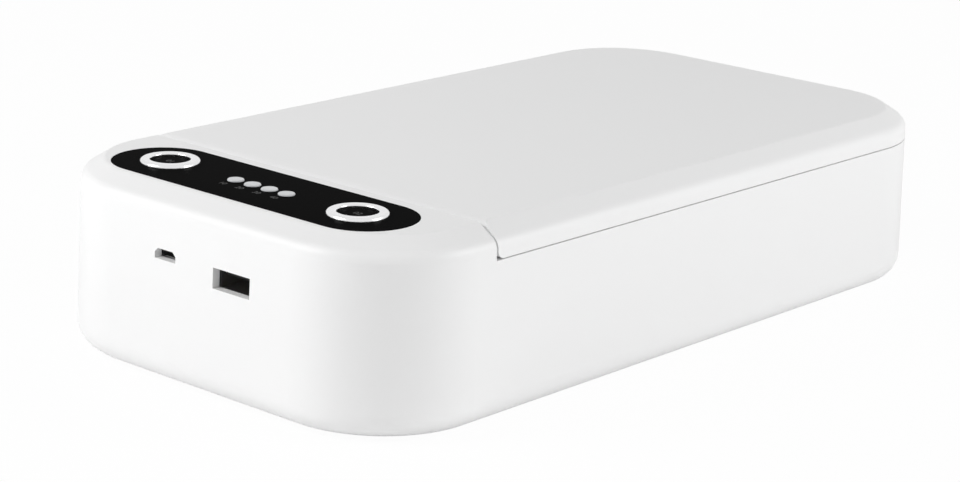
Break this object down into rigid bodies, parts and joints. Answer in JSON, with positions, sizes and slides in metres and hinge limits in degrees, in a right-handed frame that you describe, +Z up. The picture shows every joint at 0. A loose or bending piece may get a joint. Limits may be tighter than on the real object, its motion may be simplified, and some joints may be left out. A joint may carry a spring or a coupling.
{
  "type": "uv sanitizer box for phones",
  "caption": "Rounded white box with a hinged lid over a lamp-lit chamber for a phone, a control bay with push buttons, lights and sockets at one end.",
  "frame": {"origin": "on the surface that the box stands on, under the middle of the box", "axes": "+X to the right seen from the control end, +Y from the control end to the lid's free end, +Z up"},
  "size_m": [0.1236, 0.2322, 0.0498],
  "materials": {
    "white_plastic": "fine satin-gloss white moulding",
    "black_panel": "gloss black overlay",
    "button_black": "gloss black cap with a grey mark",
    "silver_ring": "silver plated plastic trim",
    "clear_lens": "milky clear light pipe",
    "black_rubber": "matt black rubber",
    "boot_rubber": "matt grey silicone",
    "steel": "bright zinc-plated steel",
    "socket_steel": "nickel-plated sheet",
    "socket_plastic": "matt black moulding",
    "plunger_plastic": "matt black moulding",
    "led_white": "ivory moulding",
    "board_green": "green solder mask",
    "coil_ferrite": "ferrite core under yellow tape",
    "can_aluminium": "sleeved aluminium can",
    "mirror_tray": "metallised reflective plastic",
    "lamp_glass": "clear quartz glass",
    "scent_felt": "pressed felt",
    "grille_plastic": "white moulding",
    "magnet_nickel": "nickel-plated magnet",
    "lead_sleeve": "red insulated lead"
  },
  "bodies": {
    "base": {"main_housing": "white_plastic", "bottom_cover": "white_plastic", "foot_front_left": "black_rubber", "foot_front_right": "black_rubber", "foot_rear_left": "black_rubber", "foot_rear_right": "black_rubber", "cover_screws": "steel", "control_panel": "black_panel", "ring_left": "silver_ring", "ring_right": "silver_ring", "switch_left": "socket_steel", "switch_right": "socket_steel", "light_pipe": "clear_lens", "status_leds": "led_white", "main_board": "board_green", "board_screws": "steel", "micro_usb_shell": "socket_steel", "micro_usb_tongue": "socket_plastic", "usb_a_shell": "socket_steel", "usb_a_tongue": "socket_plastic", "inverter_transformer": "coil_ferrite", "filter_capacitor": "can_aluminium", "control_chips": "socket_plastic", "lead_sockets": "led_white", "chamber_tray": "mirror_tray", "base_lamp": "lamp_glass", "base_lamp_boots": "boot_rubber", "base_lamp_window": "lamp_glass", "scent_pad": "scent_felt", "scent_grille": "grille_plastic", "hinge_bracket_left": "steel", "hinge_bracket_right": "steel", "hinge_screws": "steel", "base_magnets": "magnet_nickel", "lid_sensor": "socket_plastic", "base_leads": "lead_sleeve"},
    "lid": {"lid_shell": "white_plastic", "lid_liner": "mirror_tray", "liner_screws": "steel", "lid_lamp_window": "lamp_glass", "lid_lamp": "lamp_glass", "lid_lamp_boots": "boot_rubber", "lid_magnets": "magnet_nickel", "sensor_magnet": "magnet_nickel", "lid_leads": "lead_sleeve", "hinge_pin_left": "steel", "hinge_pin_right": "steel"},
    "button_left": {"button_left": "button_black", "plunger_left": "plunger_plastic"},
    "button_right": {"button_right": "button_black", "plunger_right": "plunger_plastic"}
  },
  "joints": [
    {"name": "lid_hinge", "type": "hinge", "parent": "base", "child": "lid", "pos_m": [0, -0.0751, 0.0459], "axis": [1, 0, 0], "range_deg": [0, 80]},
    {"name": "button_left_press", "type": "slide", "parent": "base", "child": "button_left", "axis": [0, 0, -1], "range_m": [0, 0.0005], "stiffness_N_per_m": 400, "springref_m": -0.001},
    {"name": "button_right_press", "type": "slide", "parent": "base", "child": "button_right", "axis": [0, 0, -1], "range_m": [0, 0.0005], "stiffness_N_per_m": 400, "springref_m": -0.001}
  ]
}
